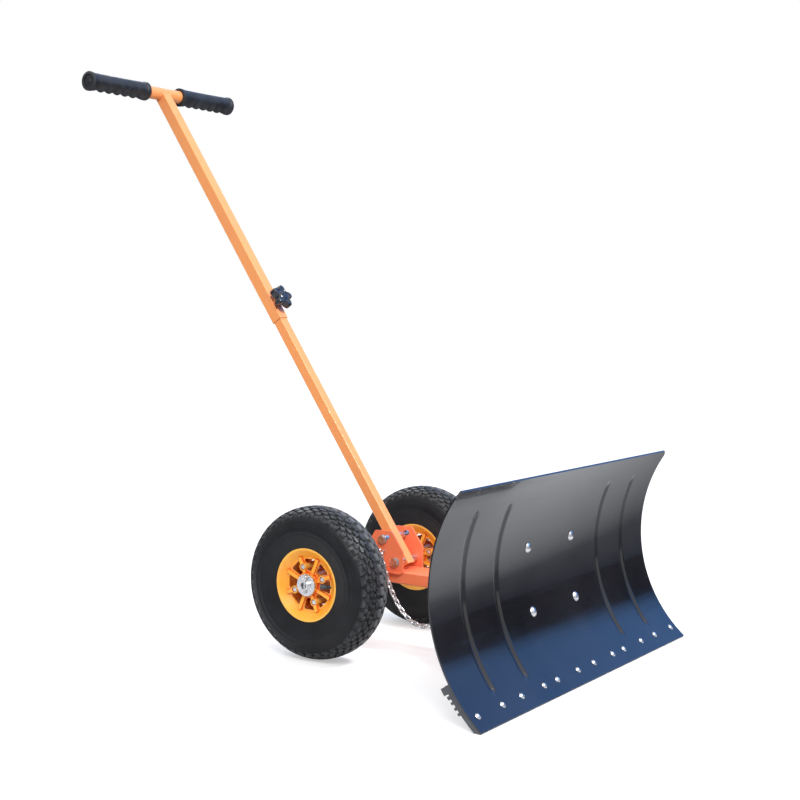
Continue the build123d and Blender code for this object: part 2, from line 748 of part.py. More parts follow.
# Wheels, drawn about X = 0 with the outer side towards +X

RIM_LIP = 5.0
TYRE_WALL = 5.0
BEAD_RADIUS = RIM_RADIUS - RIM_LIP
BEARING_OUTER = 16.0
BEARING_DEPTH = 12.0
RIM_BOLT_RADIUS = 2.5
RIM_BOLT_CIRCLE = 31.0
DISC_X = 20.5
DISC_RADIUS = 46.0
RIB_TOP = 27.5
# Corners of a window that widens outward, as (across, radius) pairs
RIM_WINDOW = [
    (-5.5, HUB_RADIUS + 4), (5.5, HUB_RADIUS + 4), (12, DISC_RADIUS - 3), (-12, DISC_RADIUS - 3),
]


def revolved(points):
    """Ring turned about the X axis from a closed outline of (x, radius) points."""
    outline = make_face(Polyline([(x, 0, r) for x, r in points], close=True))
    return revolve(outline, Axis.X, 360)


def tyre_outline(half_width, top_radius, low_radius, foot):
    """Closed section of the tyre's outer or inner skin, standing on a foot at each side."""
    middle = (top_radius + low_radius) / 2
    height = top_radius - middle
    squareness = 0.8
    steps = 28
    points = []
    for step in range(steps + 1):
        turn = math.pi * (1.24 * step / steps - 0.12)
        across_share = math.copysign(abs(math.cos(turn)) ** squareness, math.cos(turn))
        up_share = math.copysign(abs(math.sin(turn)) ** squareness, math.sin(turn))
        points.append((half_width * across_share, middle + height * up_share))
    return foot + points + [(-x, r) for x, r in reversed(foot)]


def make_tyre():
    """Tyre with a hollow inside and two staggered rows of tread blocks."""
    top = TYRE_OD / 2
    half = TYRE_WIDTH / 2
    bead = RIM_HALF_WIDTH - RIM_LIP
    foot = [(bead, BEAD_RADIUS), (RIM_HALF_WIDTH - RIM_SHEET, RIM_RADIUS), (RIM_HALF_WIDTH, RIM_RADIUS)]
    carcass = revolved(tyre_outline(half - 1, top - TREAD_DEPTH, BEAD_RADIUS, foot))
    crown = revolved(tyre_outline(half, top, BEAD_RADIUS, foot))
    blocks = []
    for number in range(TREAD_BLOCKS):
        for side in (-1, 1):
            turn = (360 * number + side * 90) / TREAD_BLOCKS
            pad = Box(half - 3, 17, 30) - Pos(side * 6, 0, 0) * Box(9, 6, 40)
            blocks.append(Rot(turn, 0, 0) * Pos(side * half / 2, 0, top - 14) * pad)
    tyre = carcass.fuse(*[piece & crown for piece in blocks])
    inner_foot = [(bead - 5, BEAD_RADIUS)]
    low = BEAD_RADIUS + 1
    return tyre - revolved(tyre_outline(half - TYRE_WALL - 1, top - TREAD_DEPTH - 7, low, inner_foot))


def make_inner_tube():
    half = TYRE_WIDTH / 2 - TYRE_WALL - 2
    low, high = RIM_RADIUS + 6, TYRE_OD / 2 - TREAD_DEPTH - 9
    outline = Pos(0, (low + high) / 2) * Ellipse(half - 3, (high - low) / 2)
    ring = Plane.XZ * (outline - Pos(0, (low + high) / 2) * Ellipse(half - 5, (high - low) / 2 - 2))
    return revolve(ring, Axis.X, 360)


def make_rim_half(outer):
    """One half: lip, barrel, and a dished disc with windows between ribbed spokes."""
    half = RIM_HALF_WIDTH
    seat = BEAD_RADIUS - RIM_SHEET
    disc_face = DISC_X + RIM_SHEET
    points = [
        (half, RIM_RADIUS), (half - RIM_SHEET, RIM_RADIUS), (half - RIM_LIP, BEAD_RADIUS),
        (0, BEAD_RADIUS), (0, seat), (DISC_X + 4, seat), (DISC_X, DISC_RADIUS),
        (DISC_X, HUB_RADIUS - 1), (disc_face, HUB_RADIUS - 1), (disc_face, DISC_RADIUS),
        (half, RIM_RADIUS - RIM_SHEET),
    ]
    rim = revolved(points) + rod(HUB_RADIUS, (0, 0, 0), (HUB_HALF_LENGTH, 0, 0), BEARING_OUTER)
    for spoke in range(SPOKES):
        turn = 360 / SPOKES * spoke
        rib = block((disc_face - 1, RIB_TOP), (-3, 3), (HUB_RADIUS - 1, DISC_RADIUS + 2))
        window = plate_yz(RIM_WINDOW, DISC_X - 1, RIB_TOP)
        rim += Rot(turn, 0, 0) * rib
        rim -= Rot(turn + 180 / SPOKES, 0, 0) * fillet(window.edges().filter_by(Axis.X), 3)
    for turn in rim_bolt_turns():
        centre = RIM_BOLT_CIRCLE
        rim += Rot(turn, 0, 0) * rod(6.5, (0, 0, centre), (RIB_TOP, 0, centre))
        rim -= Rot(turn, 0, 0) * rod(RIM_BOLT_RADIUS, (-1, 0, centre), (RIB_TOP, 0, centre))
        rim -= Rot(turn, 0, 0) * rod(5.0, (disc_face, 0, centre), (RIB_TOP + 1, 0, centre))
    if outer:
        return rim - valve_rod(VALVE_RADIUS, 0, 1)
    return mirror(rim, Plane.YZ)


def rim_bolt_turns():
    return [90 * bolt for bolt in range(4)]


VALVE_RADIUS = 3.6
VALVE_TURN = 180 / SPOKES
VALVE_ROOT = (12.0, 60.0)
VALVE_TIP = (29.0, 27.0)
WHEEL_TURN = 90.0 - VALVE_TURN


def valve_rod(radius, start_share, end_share):
    """Rod along part of the valve's line, from its root in the tyre to its cap."""
    ends = []
    for share in (start_share, end_share):
        x, r = (root + (tip - root) * share for root, tip in zip(VALVE_ROOT, VALVE_TIP))
        ends.append((x, 0, r))
    return Rot(VALVE_TURN, 0, 0) * rod(radius, *ends)


def make_rim_bolts():
    """Long bolts that hold the two rim halves together, heads sunk in both faces."""
    seat = DISC_X + RIM_SHEET
    centre = RIM_BOLT_CIRCLE
    bolts = []
    for turn in rim_bolt_turns():
        shank = rod(RIM_BOLT_RADIUS, (-seat, 0, centre), (seat, 0, centre))
        head = hexagon(7, (seat, 0, centre), (seat + 3, 0, centre))
        nut = hexagon(7, (-seat - 3, 0, centre), (-seat, 0, centre))
        bolts.append(Rot(turn, 0, 0) * (shank + head + nut))
    return bolts


def make_bearings():
    """Flanged bushes pressed into both ends of the hub."""
    rings = []
    for side in (-1, 1):
        end = side * HUB_HALF_LENGTH
        ring = rod(BEARING_OUTER, (end, 0, 0), (end - side * BEARING_DEPTH, 0, 0), AXLE_RADIUS + RUNNING)
        rings.append(ring)
    return rings


def make_valve():
    """Valve stem leaning out through a window of the rim, with its cap."""
    return valve_rod(VALVE_RADIUS, 0, 1) + valve_rod(VALVE_RADIUS + 0.8, 0.72, 1)


def on_axle(solids, side):
    """Put a wheel piece on its end of the axle, outer side outwards."""
    placed = []
    for solid in solids if isinstance(solids, list) else [solids]:
        if side < 0:
            solid = mirror(solid, Plane.YZ)
        placed.append(Pos(side * WHEEL_X, 0, AXLE_Z) * Rot(WHEEL_TURN, 0, 0) * solid)
    return placed


def make_wheels():
    pieces = {
        "tyre": make_tyre(),
        "inner_tube": make_inner_tube(),
        "rim_outer": make_rim_half(True),
        "rim_inner": make_rim_half(False),
        "rim_bolts": make_rim_bolts(),
        "bearings": make_bearings(),
        "valve": make_valve(),
    }
    sides = {"right": -1, "left": 1}
    return {
        f"{name}_{label}": on_axle(solid, side)
        for name, solid in pieces.items()
        for label, side in sides.items()
    }


def make_all():
    parts = {
        "axle": make_axle(),
        "axle_tube": make_axle_tube(),
        "axle_washers": make_axle_washers(),
        "split_pins": make_split_pins(),
        "tongue": make_tongue(),
        "king_bush": make_king_bush(),
        "thrust_washers": make_thrust_washers(),
        "pin_tower": make_pin_tower(),
        "detent_screw": make_detent_screw(),
        "handle_bracket_right": make_handle_bracket(-1),
        "handle_bracket_left": make_handle_bracket(1),
        "pivot_bolt": make_pivot_bolt(),
        "pivot_nut": make_pivot_nut(),
        "pivot_washers": make_pivot_washers(),
        "pivot_spacers": make_pivot_spacers(),
        "chain_eye": make_chain_eye(),
        "chain": make_chain(),
        "lock_pin": make_lock_pin(),
        "pull_ring": make_pull_ring(),
        "lower_tube": make_lower_tube(),
        "tilt_bolt": make_tilt_bolt(),
        "tilt_nut": make_tilt_nut(),
        "tilt_washers": make_tilt_washers(),
        "tilt_spacers": make_tilt_spacers(),
        "upper_tube": make_upper_tube(),
        "crossbar": make_crossbar(),
        "grip_right": make_grip(-1),
        "grip_left": make_grip(1),
        "clamp_nut": make_clamp_nut(),
        "knob": make_knob(),
        "knob_stud": make_knob_stud(),
        "blade_sheet": make_blade_sheet(),
        "scraper": make_scraper(),
        "rivets": make_rivets(),
        "rivet_washers": make_rivet_washers(),
        "blade_bracket_right": make_blade_bracket(-1),
        "blade_bracket_left": make_blade_bracket(1),
        "index_plate": make_index_plate(),
        "fork_plate": make_fork_plate(),
        "king_pin": make_king_pin(),
        "king_nut": make_king_nut(),
        "blade_bolts": make_blade_bolts(),
        "blade_bolt_washers": make_blade_bolt_washers(),
        "blade_bolt_nuts": make_blade_bolt_nuts(),
    }
    parts.update(make_wheels())
    return parts


def solids_of(piece):
    """Every separate solid of a piece, whether it is one shape or a list."""
    shapes = piece if isinstance(piece, list) else [piece]
    return [solid for shape in shapes for solid in shape.solids()]


def export_all():
    """Write one file per piece, with the origin under the middle of the whole shovel."""
    parts = {name: Compound(solids_of(piece)) for name, piece in make_all().items()}
    centre = Compound(list(parts.values())).bounding_box().center()
    os.makedirs("parts", exist_ok=True)
    for name, shape in parts.items():
        export_step(shape.moved(Location((0, -centre.Y, 0))), f"parts/{name}.step")


export_all()
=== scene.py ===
import json
import math
import bpy
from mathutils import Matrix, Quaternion, Vector


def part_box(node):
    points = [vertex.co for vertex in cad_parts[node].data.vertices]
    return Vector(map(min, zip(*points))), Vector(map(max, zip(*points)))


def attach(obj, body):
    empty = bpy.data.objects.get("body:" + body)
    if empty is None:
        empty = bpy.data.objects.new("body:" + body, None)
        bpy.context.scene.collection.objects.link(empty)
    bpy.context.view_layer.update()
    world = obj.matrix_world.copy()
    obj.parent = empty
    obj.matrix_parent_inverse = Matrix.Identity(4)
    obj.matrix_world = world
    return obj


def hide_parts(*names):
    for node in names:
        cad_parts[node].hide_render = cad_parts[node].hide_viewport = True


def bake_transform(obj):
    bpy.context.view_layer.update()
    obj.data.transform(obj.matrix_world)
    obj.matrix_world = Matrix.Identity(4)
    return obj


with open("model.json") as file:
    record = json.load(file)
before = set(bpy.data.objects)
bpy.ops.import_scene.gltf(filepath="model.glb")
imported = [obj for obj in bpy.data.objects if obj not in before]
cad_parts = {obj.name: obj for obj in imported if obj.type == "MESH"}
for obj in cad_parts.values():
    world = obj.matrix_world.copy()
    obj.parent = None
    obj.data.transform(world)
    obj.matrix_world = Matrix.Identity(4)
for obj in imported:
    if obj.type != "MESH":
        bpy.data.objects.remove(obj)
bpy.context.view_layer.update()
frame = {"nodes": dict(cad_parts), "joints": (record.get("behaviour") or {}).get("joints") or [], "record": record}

# Metres and degrees throughout. The shovel faces -Y and stands on Z = 0.
MM = 0.001
# How far the floor lies under the wheels, so that the two never share a surface
FLOOR_DROP = 0.5 * MM

# Camera
CAMERA_PLACE = (-2.0724, -1.4729, 0.6139)
CAMERA_BACK = (-0.8309, -0.5516, 0.0724)
CAMERA_ROLL = 1.0
CAMERA_LENS = 64.0

# Wheels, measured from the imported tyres
TYRE_LOW, TYRE_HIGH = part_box("tyre_right")
WHEEL_X = abs(TYRE_LOW.x + TYRE_HIGH.x) / 2
WHEEL_Y = (TYRE_LOW.y + TYRE_HIGH.y) / 2
WHEEL_Z = (TYRE_LOW.z + TYRE_HIGH.z) / 2
TYRE_TOP = (TYRE_HIGH.z - TYRE_LOW.z) / 2
TYRE_HALF = (TYRE_HIGH.x - TYRE_LOW.x) / 2
BEAD_RADIUS = 62.2 * MM
BEAD_HALF = 33.3 * MM
SECTION_LOW_RADIUS = 57.0 * MM
SECTION_SQUARENESS = 0.8
SECTION_TURNS = (-22.0, 202.0)
SECTION_STEPS = 90
AROUND_TYRE = 180
TREAD_DEPTH = 4.0 * MM
TREAD_STEPS = 42
TREAD_FILL = 0.86
# Blocks as (share of the row's reach, share of a tread step) corners
CROWN_BLOCK = ((-1.0, 0.0), (-0.55, 0.42), (0.55, 0.42), (1.0, 0.0), (0.55, -0.42), (-0.55, -0.42))
EDGE_LUG = ((-1.0, 0.30), (1.0, 0.38), (1.0, -0.38), (-1.0, -0.30))
# Rows on each side of the crown: turn from it, reach, block, shift in tread steps
TREAD_ROWS = (
    (5.5, 5.0, CROWN_BLOCK, 0.0),
    (16.0, 5.0, CROWN_BLOCK, 0.5),
    (26.5, 5.0, CROWN_BLOCK, 0.0),
    (37.0, 4.8, CROWN_BLOCK, 0.5),
    (48.5, 6.4, EDGE_LUG, 0.0),
)
# A block's levels from root to top: depth under the tread's surface, scale of its outline
BLOCK_LEVELS = ((TREAD_DEPTH * 1.1, 1.04), (TREAD_DEPTH * 0.25, 0.94), (0.0, 0.84))
# Where the painted sheen of the tread begins, as a distance from the axle, and its two tones
TREAD_START = 114.0 * MM
TREAD_SHEEN_TONES = ((0.017, 0.018, 0.020), (0.070, 0.073, 0.080))
# Raised rings on the sidewalls as (radius, width, height)
SIDE_RINGS = ((0.070, 0.0022, 0.0012), (0.092, 0.0020, 0.0016), (0.101, 0.0016, 0.0009))

# Surround: (height of the direction, colour) stops for the studio and for the mirrored side
STUDIO_SKY = (
    (0.0, (0.7, 0.7, 0.7)), (0.3, (0.5, 0.5, 0.5)), (0.7, (1.0, 1.0, 1.0)), (1.0, (1.1, 1.1, 1.1)),
)
MIRRORED_SKY = (
    (0.0, (0.03, 0.03, 0.035)), (0.21, (0.02, 0.02, 0.03)), (0.24, (0.12, 0.28, 0.62)),
    (0.29, (0.19, 0.48, 1.14)), (0.56, (0.20, 0.48, 1.17)), (0.8, (0.8, 0.85, 0.95)),
)
# The X of a direction where the mirrored side begins and where it is complete
MIRRORED_FROM = (0.35, 0.55)
FLOOR_HALF = 60.0
# Distances between which the floor changes, and its glow and tone before and after
FLOOR_FADE = (0.75, 1.5)
FLOOR_GLOW = (0.45, 1.05)
FLOOR_TONES = (0.62, 0.10)
# Each light's name, place, point aimed at, side and watts
LIGHTS = (
    ("key", (-3.2, -2.4, 3.6), (0, -0.1, 0.3), 2.0, 160),
    ("front_fill", (0.3, -1.8, 2.4), (0, -0.05, 0.15), 0.35, 46),
    ("back_top", (1.5, 3.0, 3.2), (0, 0, 0.4), 2.5, 70),
)

# Blade
BLADE_RADIUS = 247.0 * MM
BLADE_SHEET = 2.5 * MM
BLADE_LOW, BLADE_HIGH = -51.0, 36.0
BLADE_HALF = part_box("blade_sheet")[1].x
BLADE_CENTRE_Z = 0.1942
RIB_XS = (-0.275, -0.175, 0.175, 0.275)
RIB_ARCS = (0.041, 0.331)
RIB_SINK = 3.0 * MM
RIB_HALF_WIDTH = 8.5 * MM
RIB_RUN_OUT = 16.0 * MM
CORNER_CUT = 9.0 * MM
HEM_HEIGHT = 12.0 * MM
BLADE_COLUMNS = 92
BLADE_ROWS = 120
# Finer columns at each rib: their pitch and how many lie on each side
RIB_PITCH = 1.4 * MM
RIB_COLUMNS = 7
HEM_COLUMNS = 40
BLADE_AXIS_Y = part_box("blade_sheet")[0].y - BLADE_RADIUS * math.cos(math.radians(BLADE_LOW))
BLADE_ARC = math.radians(BLADE_HIGH - BLADE_LOW) * BLADE_RADIUS
# Section of the hem as (distance below the top edge, depth behind the hollow face)
HEM_SECTION = (
    (HEM_HEIGHT, 2.4 * MM), (HEM_HEIGHT, 4.0 * MM), (11.0 * MM, 4.5 * MM),
    (1.6 * MM, 4.5 * MM), (0.4 * MM, 3.9 * MM), (0.2 * MM, 2.4 * MM),
)

# Grips: rubber sleeves with a collar at each end and finger grooves underneath
GRIP_LOW, GRIP_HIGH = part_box("grip_left")
GRIP_LENGTH = GRIP_HIGH.x - GRIP_LOW.x
COLLAR_RADIUS = 18.0 * MM
BAR_Y = (GRIP_LOW.y + GRIP_HIGH.y) / 2
BAR_Z = GRIP_HIGH.z - COLLAR_RADIUS
FINGERS = 6
# Where the grooved stretch begins and ends, as shares of the length
FINGER_SPAN = (0.08, 0.92)
GRIP_RINGS = 150
AROUND_GRIP = 64
# Round rings before and after the moulded stretch, as (distance along, radius)
GRIP_START_RINGS = ((0.0, 12.2 * MM), (0.0, 15.5 * MM))
GRIP_END_RINGS = (
    (GRIP_LENGTH, 16.6 * MM), (GRIP_LENGTH, 12.6 * MM),
    (GRIP_LENGTH - 2.2 * MM, 12.0 * MM), (GRIP_LENGTH - 2.2 * MM, 4.0 * MM),
    (GRIP_LENGTH - 1.4 * MM, 3.2 * MM), (GRIP_LENGTH - 1.4 * MM, 0.1 * MM),
)

# Knob
KNOB_LOBES = 5
KNOB_RADIUS = 23.9 * MM
KNOB_VALLEY = 10.0 * MM
KNOB_DEPTH = 18.0 * MM
AROUND_KNOB = 144
# The knob's outline from its neck over the rim to the face's centre, as shares
KNOB_PROFILE = (
    (0.35, 0.0), (0.40, 0.20), (0.90, 0.21), (0.975, 0.28), (1.0, 0.40), (1.0, 0.77),
    (0.975, 0.91), (0.91, 0.985), (0.78, 1.0), (0.62, 0.93), (0.46, 0.90), (0.36, 0.92),
    (0.30, 0.99), (0.14, 1.0), (0.004, 1.0),
)

# Paints
# How far the painted shade in recesses reaches, and the dark reds painted there as shade
RECESS_SHADE_REACH = 0.022
RED_RECESS_SHADE = (0.75, 0.055, 0.012)
POST_RECESS_SHADE = (0.60, 0.08, 0.015)
POST_ORANGE = (0.90, 0.285, 0.052)
POST_SHADE = (0.86, 0.235, 0.042)
# A redder, lit copy of the post's orange for the brackets, tongue, pin tower and axle tube: painted light that
# stands for how the light saturates these parts, not a paint of their own
BRACKET_ORANGE_PAINTED_LIGHT = (0.95, 0.16, 0.035)
BRACKET_SHADE_PAINTED_LIGHT = (0.90, 0.12, 0.028)
RIM_ORANGE = (0.98, 0.46, 0.02)
RIM_SHADE = (0.94, 0.34, 0.015)
DUST = (0.8, 0.74, 0.66)
BRACKET_NODES = ("tongue", "handle_bracket_right", "handle_bracket_left", "pin_tower", "axle_tube")


# ---------------------------------------------------------------- node helpers

def colour_ramp(nodes, links, value, stops):
    """Colour ramp on a value; each stop is (position, colour or grey)."""
    node = nodes.new("ShaderNodeValToRGB")
    elements = node.color_ramp.elements
    while len(elements) < len(stops):
        elements.new(0.5)
    for element, (position, colour) in zip(elements, stops):
        element.position = position
        grey = isinstance(colour, (int, float))
        element.color = (colour, colour, colour, 1) if grey else (*colour, 1)
    links.new(value, node.inputs["Fac"])
    return node.outputs["Color"]


class Shader:
    """One material under construction: a Principled surface and the nodes that feed it."""

    def __init__(self, name, **values):
        self.material = bpy.data.materials.new(name)
        self.material.use_nodes = True
        self.nodes = self.material.node_tree.nodes
        self.links = self.material.node_tree.links
        self.surface = self.nodes["Principled BSDF"]
        self.coords = self.nodes.new("ShaderNodeTexCoord").outputs["Object"]
        for socket, value in values.items():
            self.surface.inputs[socket.replace("_", " ")].default_value = value

    def link(self, output, socket):
        self.links.new(output, self.surface.inputs[socket])

    def noise(self, scale, detail=4.0, stretch=None):
        node = self.nodes.new("ShaderNodeTexNoise")
        node.inputs["Scale"].default_value = scale
        node.inputs["Detail"].default_value = detail
        self.links.new(self.stretched(stretch), node.inputs["Vector"])
        return node.outputs["Fac"]

    def cells(self, scale):
        node = self.nodes.new("ShaderNodeTexVoronoi")
        node.inputs["Scale"].default_value = scale
        self.links.new(self.coords, node.inputs["Vector"])
        return node.outputs["Distance"]

    def stretched(self, stretch):
        if stretch is None:
            return self.coords
        node = self.nodes.new("ShaderNodeMapping")
        node.inputs["Scale"].default_value = stretch
        self.links.new(self.coords, node.inputs["Vector"])
        return node.outputs["Vector"]

    def ramp(self, value, *stops):
        return colour_ramp(self.nodes, self.links, value, stops)

    def mix(self, factor, first, second, blend="MIX"):
        node = self.nodes.new("ShaderNodeMix")
        node.data_type = "RGBA"
        node.blend_type = blend
        for socket, value in ((0, factor), (6, first), (7, second)):
            if isinstance(value, bpy.types.NodeSocket):
                self.links.new(value, node.inputs[socket])
            else:
                node.inputs[socket].default_value = value
        return node.outputs[2]

    def occlusion_for_shade(self, reach):
        """Ambient occlusion, near 1 on open surfaces and towards 0 in hollow places; it sets where shade is
        painted.
        """
        node = self.nodes.new("ShaderNodeAmbientOcclusion")
        node.samples = 6
        node.inputs["Distance"].default_value = reach
        return node.outputs["AO"]

    def axle_distance(self):
        """Distance from the line through both wheels' centres."""
        offset = self.nodes.new("ShaderNodeMapping")
        offset.inputs["Scale"].default_value = (0, 1, 1)
        offset.inputs["Location"].default_value = (0, -WHEEL_Y, -WHEEL_Z)
        self.links.new(self.coords, offset.inputs["Vector"])
        length = self.nodes.new("ShaderNodeVectorMath")
        length.operation = "LENGTH"
        self.links.new(offset.outputs["Vector"], length.inputs[0])
        return length.outputs["Value"]

    def edges(self):
        """Light on convex edges and dark in creases."""
        return self.nodes.new("ShaderNodeNewGeometry").outputs["Pointiness"]

    def bump(self, height, strength, distance, round_edges=0.0):
        node = self.nodes.new("ShaderNodeBump")
        node.inputs["Strength"].default_value = strength
        node.inputs["Distance"].default_value = distance
        self.links.new(height, node.inputs["Height"])
        if round_edges:
            bevel = self.nodes.new("ShaderNodeBevel")
            bevel.samples = 4
            bevel.inputs["Radius"].default_value = round_edges
            self.links.new(bevel.outputs["Normal"], node.inputs["Normal"])
        self.link(node.outputs["Normal"], "Normal")


def paint(name, colour, shade, recess_shade_colour, roughness):
    """Powder-coated steel: slight orange peel, painted shade as a deeper red in recesses, and bright edges from
    wear.
    """
    s = Shader(name, Specular_IOR_Level=0.5, Coat_Weight=0.25, Coat_Roughness=0.12)
    open_tone = s.ramp(s.noise(14.0), (0.3, shade), (0.7, colour))
    # Painted shade: the colour turns dark red where ambient occlusion finds a recess
    recess_shade = s.ramp(s.occlusion_for_shade(RECESS_SHADE_REACH), (0.35, 1.0), (0.88, 0.0))
    tone = s.mix(recess_shade, open_tone, (*recess_shade_colour, 1))
    speckle = s.ramp(s.noise(90.0, 8.0), (0.55, 0.0), (0.8, 0.12))
    dusty = s.mix(speckle, tone, (*DUST, 1))
    pale_edge = s.ramp(s.edges(), (0.53, 0.0), (0.6, 0.5))
    pale = tuple(min(1.0, part * 1.15 + 0.12) for part in colour)
    s.link(s.mix(pale_edge, dusty, (*pale, 1)), "Base Color")
    s.link(s.ramp(s.noise(60.0), (0.3, roughness), (0.7, roughness + 0.14)), "Roughness")
    s.bump(s.noise(900.0, 2.0), 0.12, 0.0004, round_edges=0.0007)
    return s.material


def blade_paint():
    """Gloss black enamel on pressed sheet, with faint waves and fine scuffs."""
    s = Shader("blade_black", IOR=1.62, Coat_Weight=0.3, Coat_Roughness=0.05)
    s.link(s.ramp(s.noise(9.0), (0.3, (0.006, 0.006, 0.008)), (0.7, (0.014, 0.014, 0.017))), "Base Color")
    scuffs = s.noise(60.0, 8.0, stretch=(0.15, 1.0, 1.6))
    s.link(s.ramp(scuffs, (0.35, 0.10), (0.62, 0.17), (0.8, 0.30)), "Roughness")
    s.bump(s.noise(6.0, 1.0), 0.25, 0.0012)
    return s.material


def zinc():
    """Bright zinc plate: clear passivated metal with faint mottling and tool marks."""
    s = Shader("zinc_plate", Metallic=1.0)
    s.link(s.ramp(s.noise(240.0), (0.3, (0.62, 0.63, 0.65)), (0.7, (0.9, 0.9, 0.92))), "Base Color")
    s.link(s.ramp(s.noise(500.0), (0.3, 0.2), (0.7, 0.38)), "Roughness")
    s.bump(s.noise(1200.0, 3.0), 0.15, 0.0002, round_edges=0.0004)
    return s.material


def rubber(name, colour, light, pale_edge, shine, roughness, grain, sheen_from=None):
    """Moulded rubber: fine pebble, a paler tone on edges and high spots that is partly wear and partly a painted
    glint, and on the tyre a lighter tread that is a painted sheen.
    """
    s = Shader(name, Specular_IOR_Level=shine)
    tone = s.ramp(s.noise(35.0, 6.0), (0.3, colour), (0.75, light))
    # Painted sheen: the tread beyond a given distance from the axle is lighter
    if sheen_from:
        speckle = s.ramp(s.noise(160.0, 6.0), (0.35, TREAD_SHEEN_TONES[0]), (0.7, TREAD_SHEEN_TONES[1]))
        treads = s.ramp(s.axle_distance(), (sheen_from, 0.0), (sheen_from + TREAD_DEPTH, 1.0))
        tone = s.mix(treads, tone, speckle)
    # Painted glint and wear: convex edges turn to the paler tone
    glint_and_wear = s.ramp(s.edges(), (0.52, 0.0), (0.66, 0.9))
    s.link(s.mix(glint_and_wear, tone, (*pale_edge, 1)), "Base Color")
    s.link(s.ramp(s.noise(120.0), (0.3, roughness), (0.7, roughness + 0.2)), "Roughness")
    s.bump(s.cells(grain), 0.3, 0.0003, round_edges=0.0004)
    return s.material


def knob_plastic():
    """Gloss moulded nylon with slight sink marks and a fine parting texture."""
    s = Shader("knob_plastic", Coat_Weight=0.4, Coat_Roughness=0.08)
    s.link(s.ramp(s.noise(50.0), (0.3, (0.012, 0.013, 0.02)), (0.7, (0.022, 0.024, 0.035))), "Base Color")
    s.link(s.ramp(s.noise(140.0), (0.3, 0.22), (0.7, 0.36)), "Roughness")
    s.bump(s.noise(400.0, 2.0), 0.1, 0.0003)
    return s.material


def plain_part(name, dark, light, roughness, metallic):
    """Bushes and thrust washers: machined or moulded, lightly mottled."""
    s = Shader(name, Metallic=metallic)
    s.link(s.ramp(s.noise(150.0), (0.3, dark), (0.7, light)), "Base Color")
    s.link(s.ramp(s.noise(300.0), (0.3, roughness), (0.7, roughness + 0.15)), "Roughness")
    s.bump(s.noise(900.0), 0.1, 0.0002)
    return s.material


MATERIALS = {
    "orange_paint": paint("orange_powder_coat", POST_ORANGE, POST_SHADE, POST_RECESS_SHADE, 0.34),
    "orange_paint_lit_redder": paint("orange_powder_coat_lit_redder", BRACKET_ORANGE_PAINTED_LIGHT, BRACKET_SHADE_PAINTED_LIGHT, RED_RECESS_SHADE, 0.34),
    "rim_paint": paint("rim_powder_coat", RIM_ORANGE, RIM_SHADE, RED_RECESS_SHADE, 0.3),
    "black_paint": blade_paint(),
    "zinc_steel": zinc(),
    # The tyre's paler edge tone stands partly for wear and partly for painted glints on the tread
    "tyre": rubber(
        "tyre_rubber", (0.005, 0.0055, 0.007), (0.010, 0.011, 0.014), (0.20, 0.205, 0.215),
        shine=0.27, roughness=0.30, grain=700.0, sheen_from=TREAD_START,
    ),
    "rubber": rubber(
        "moulded_rubber", (0.009, 0.010, 0.013), (0.028, 0.033, 0.040), (0.085, 0.092, 0.105),
        shine=0.45, roughness=0.36, grain=1100.0,
    ),
    "knob_plastic": knob_plastic(),
    "bronze": plain_part("sintered_bush", (0.35, 0.22, 0.09), (0.5, 0.34, 0.16), 0.4, 0.9),
    "nylon": plain_part("white_nylon", (0.72, 0.71, 0.66), (0.84, 0.83, 0.79), 0.45, 0.0),
}


def give(obj, slot):
    """Replace all of an object's materials by one of the set above."""
    obj.data.materials.clear()
    obj.data.materials.append(MATERIALS[slot])


# ---------------------------------------------------------------- mesh helpers

def make_object(name, vertices, faces, slot, body):
    """Smooth-shaded piece that rides on a body."""
    mesh = bpy.data.meshes.new(name)
    mesh.from_pydata([tuple(v) for v in vertices], [], faces)
    mesh.validate()
    mesh.update()
    mesh.polygons.foreach_set("use_smooth", [True] * len(mesh.polygons))
    obj = bpy.data.objects.new(name, mesh)
    bpy.context.scene.collection.objects.link(obj)
    give(obj, slot)
    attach(obj, body)
    return obj


def grid_faces(rows, columns, closed=True):
    """Quads of a grid of vertices stored row by row; a closed grid joins its last column to the first."""
    faces = []
    for row in range(rows - 1):
        for column in range(columns if closed else columns - 1):
            low, high = row * columns, (row + 1) * columns
            other = (column + 1) % columns
            faces.append((low + column, low + other, high + other, high + column))
    return faces


def smooth_step(value, low, high):
    share = min(1.0, max(0.0, (value - low) / (high - low)))
    return share * share * (3 - 2 * share)


def power(value, exponent):
    return math.copysign(abs(value) ** exponent, value)


# ---------------------------------------------------------------- tyres

def tyre_point(turn, inset):
    """(x, radius) on the tyre's section; turn is 0 at one side, 90 at the tread, 180 at the other."""
    angle = math.radians(turn)
    middle = (TYRE_TOP + SECTION_LOW_RADIUS) / 2
    height = TYRE_TOP - inset - middle
    half = TYRE_HALF - inset / 4
    across = half * power(math.cos(angle), SECTION_SQUARENESS)
    return across, middle + height * power(math.sin(angle), SECTION_SQUARENESS)


def carcass_section():
    """Sidewalls, bead and the tread's base, with raised rings on the sidewalls."""
    first, last = SECTION_TURNS
    section = []
    for step in range(SECTION_STEPS + 1):
        turn = first + (last - first) * step / SECTION_STEPS
        x, r = tyre_point(turn, TREAD_DEPTH)
        side = math.copysign(1, x)
        for ring, width, height in SIDE_RINGS:
            x += side * height * math.exp(-((r - ring) / width) ** 2)
        section.append((x, r))
    return [(BEAD_HALF, BEAD_RADIUS)] + section + [(-BEAD_HALF, BEAD_RADIUS)]


